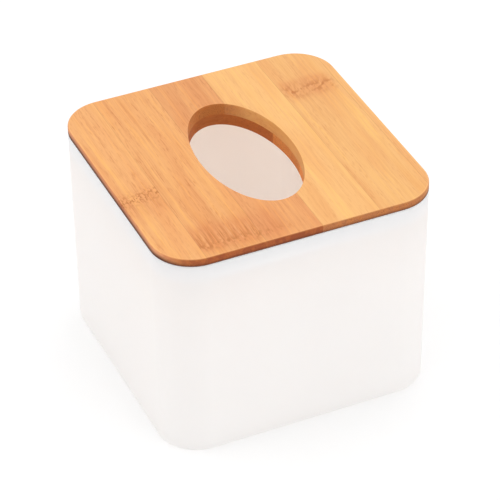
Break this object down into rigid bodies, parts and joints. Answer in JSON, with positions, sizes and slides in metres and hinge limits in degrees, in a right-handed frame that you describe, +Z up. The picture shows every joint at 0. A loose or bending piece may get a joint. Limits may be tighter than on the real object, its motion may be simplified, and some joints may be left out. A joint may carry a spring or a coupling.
{
  "type": "tissue box cover",
  "caption": "Square white tissue box with rounded corners and a lift-off glued bamboo lid with an oval opening.",
  "frame": {"origin": "middle of the underside of the box, on the table", "axes": "+Z up out of the opening, the way the lid lifts; +Y along the oval's length and the upper staves, towards the back; +X to the right"},
  "size_m": [0.135, 0.135, 0.11],
  "materials": {
    "white_plastic": "smooth satin moulding",
    "bamboo_upper": "sanded bamboo under clear satin lacquer, grain front to back",
    "bamboo_lower": "sanded bamboo, grain side to side"
  },
  "bodies": {
    "box": {"box_shell": "white_plastic"},
    "lid": {"upper_stave_1": "bamboo_upper", "upper_stave_2": "bamboo_upper", "upper_stave_3_front": "bamboo_upper", "upper_stave_3_back": "bamboo_upper", "upper_stave_4": "bamboo_upper", "upper_stave_5": "bamboo_upper", "upper_stave_6": "bamboo_upper", "lower_stave_1": "bamboo_lower", "lower_stave_2_left": "bamboo_lower", "lower_stave_2_right": "bamboo_lower", "lower_stave_3_left": "bamboo_lower", "lower_stave_3_right": "bamboo_lower", "lower_stave_4": "bamboo_lower", "lower_stave_5": "bamboo_lower"}
  },
  "joints": [
    {"name": "lid_lift", "type": "slide", "parent": "box", "child": "lid", "axis": [0, 0, 1], "range_m": [0, 0.08]}
  ]
}
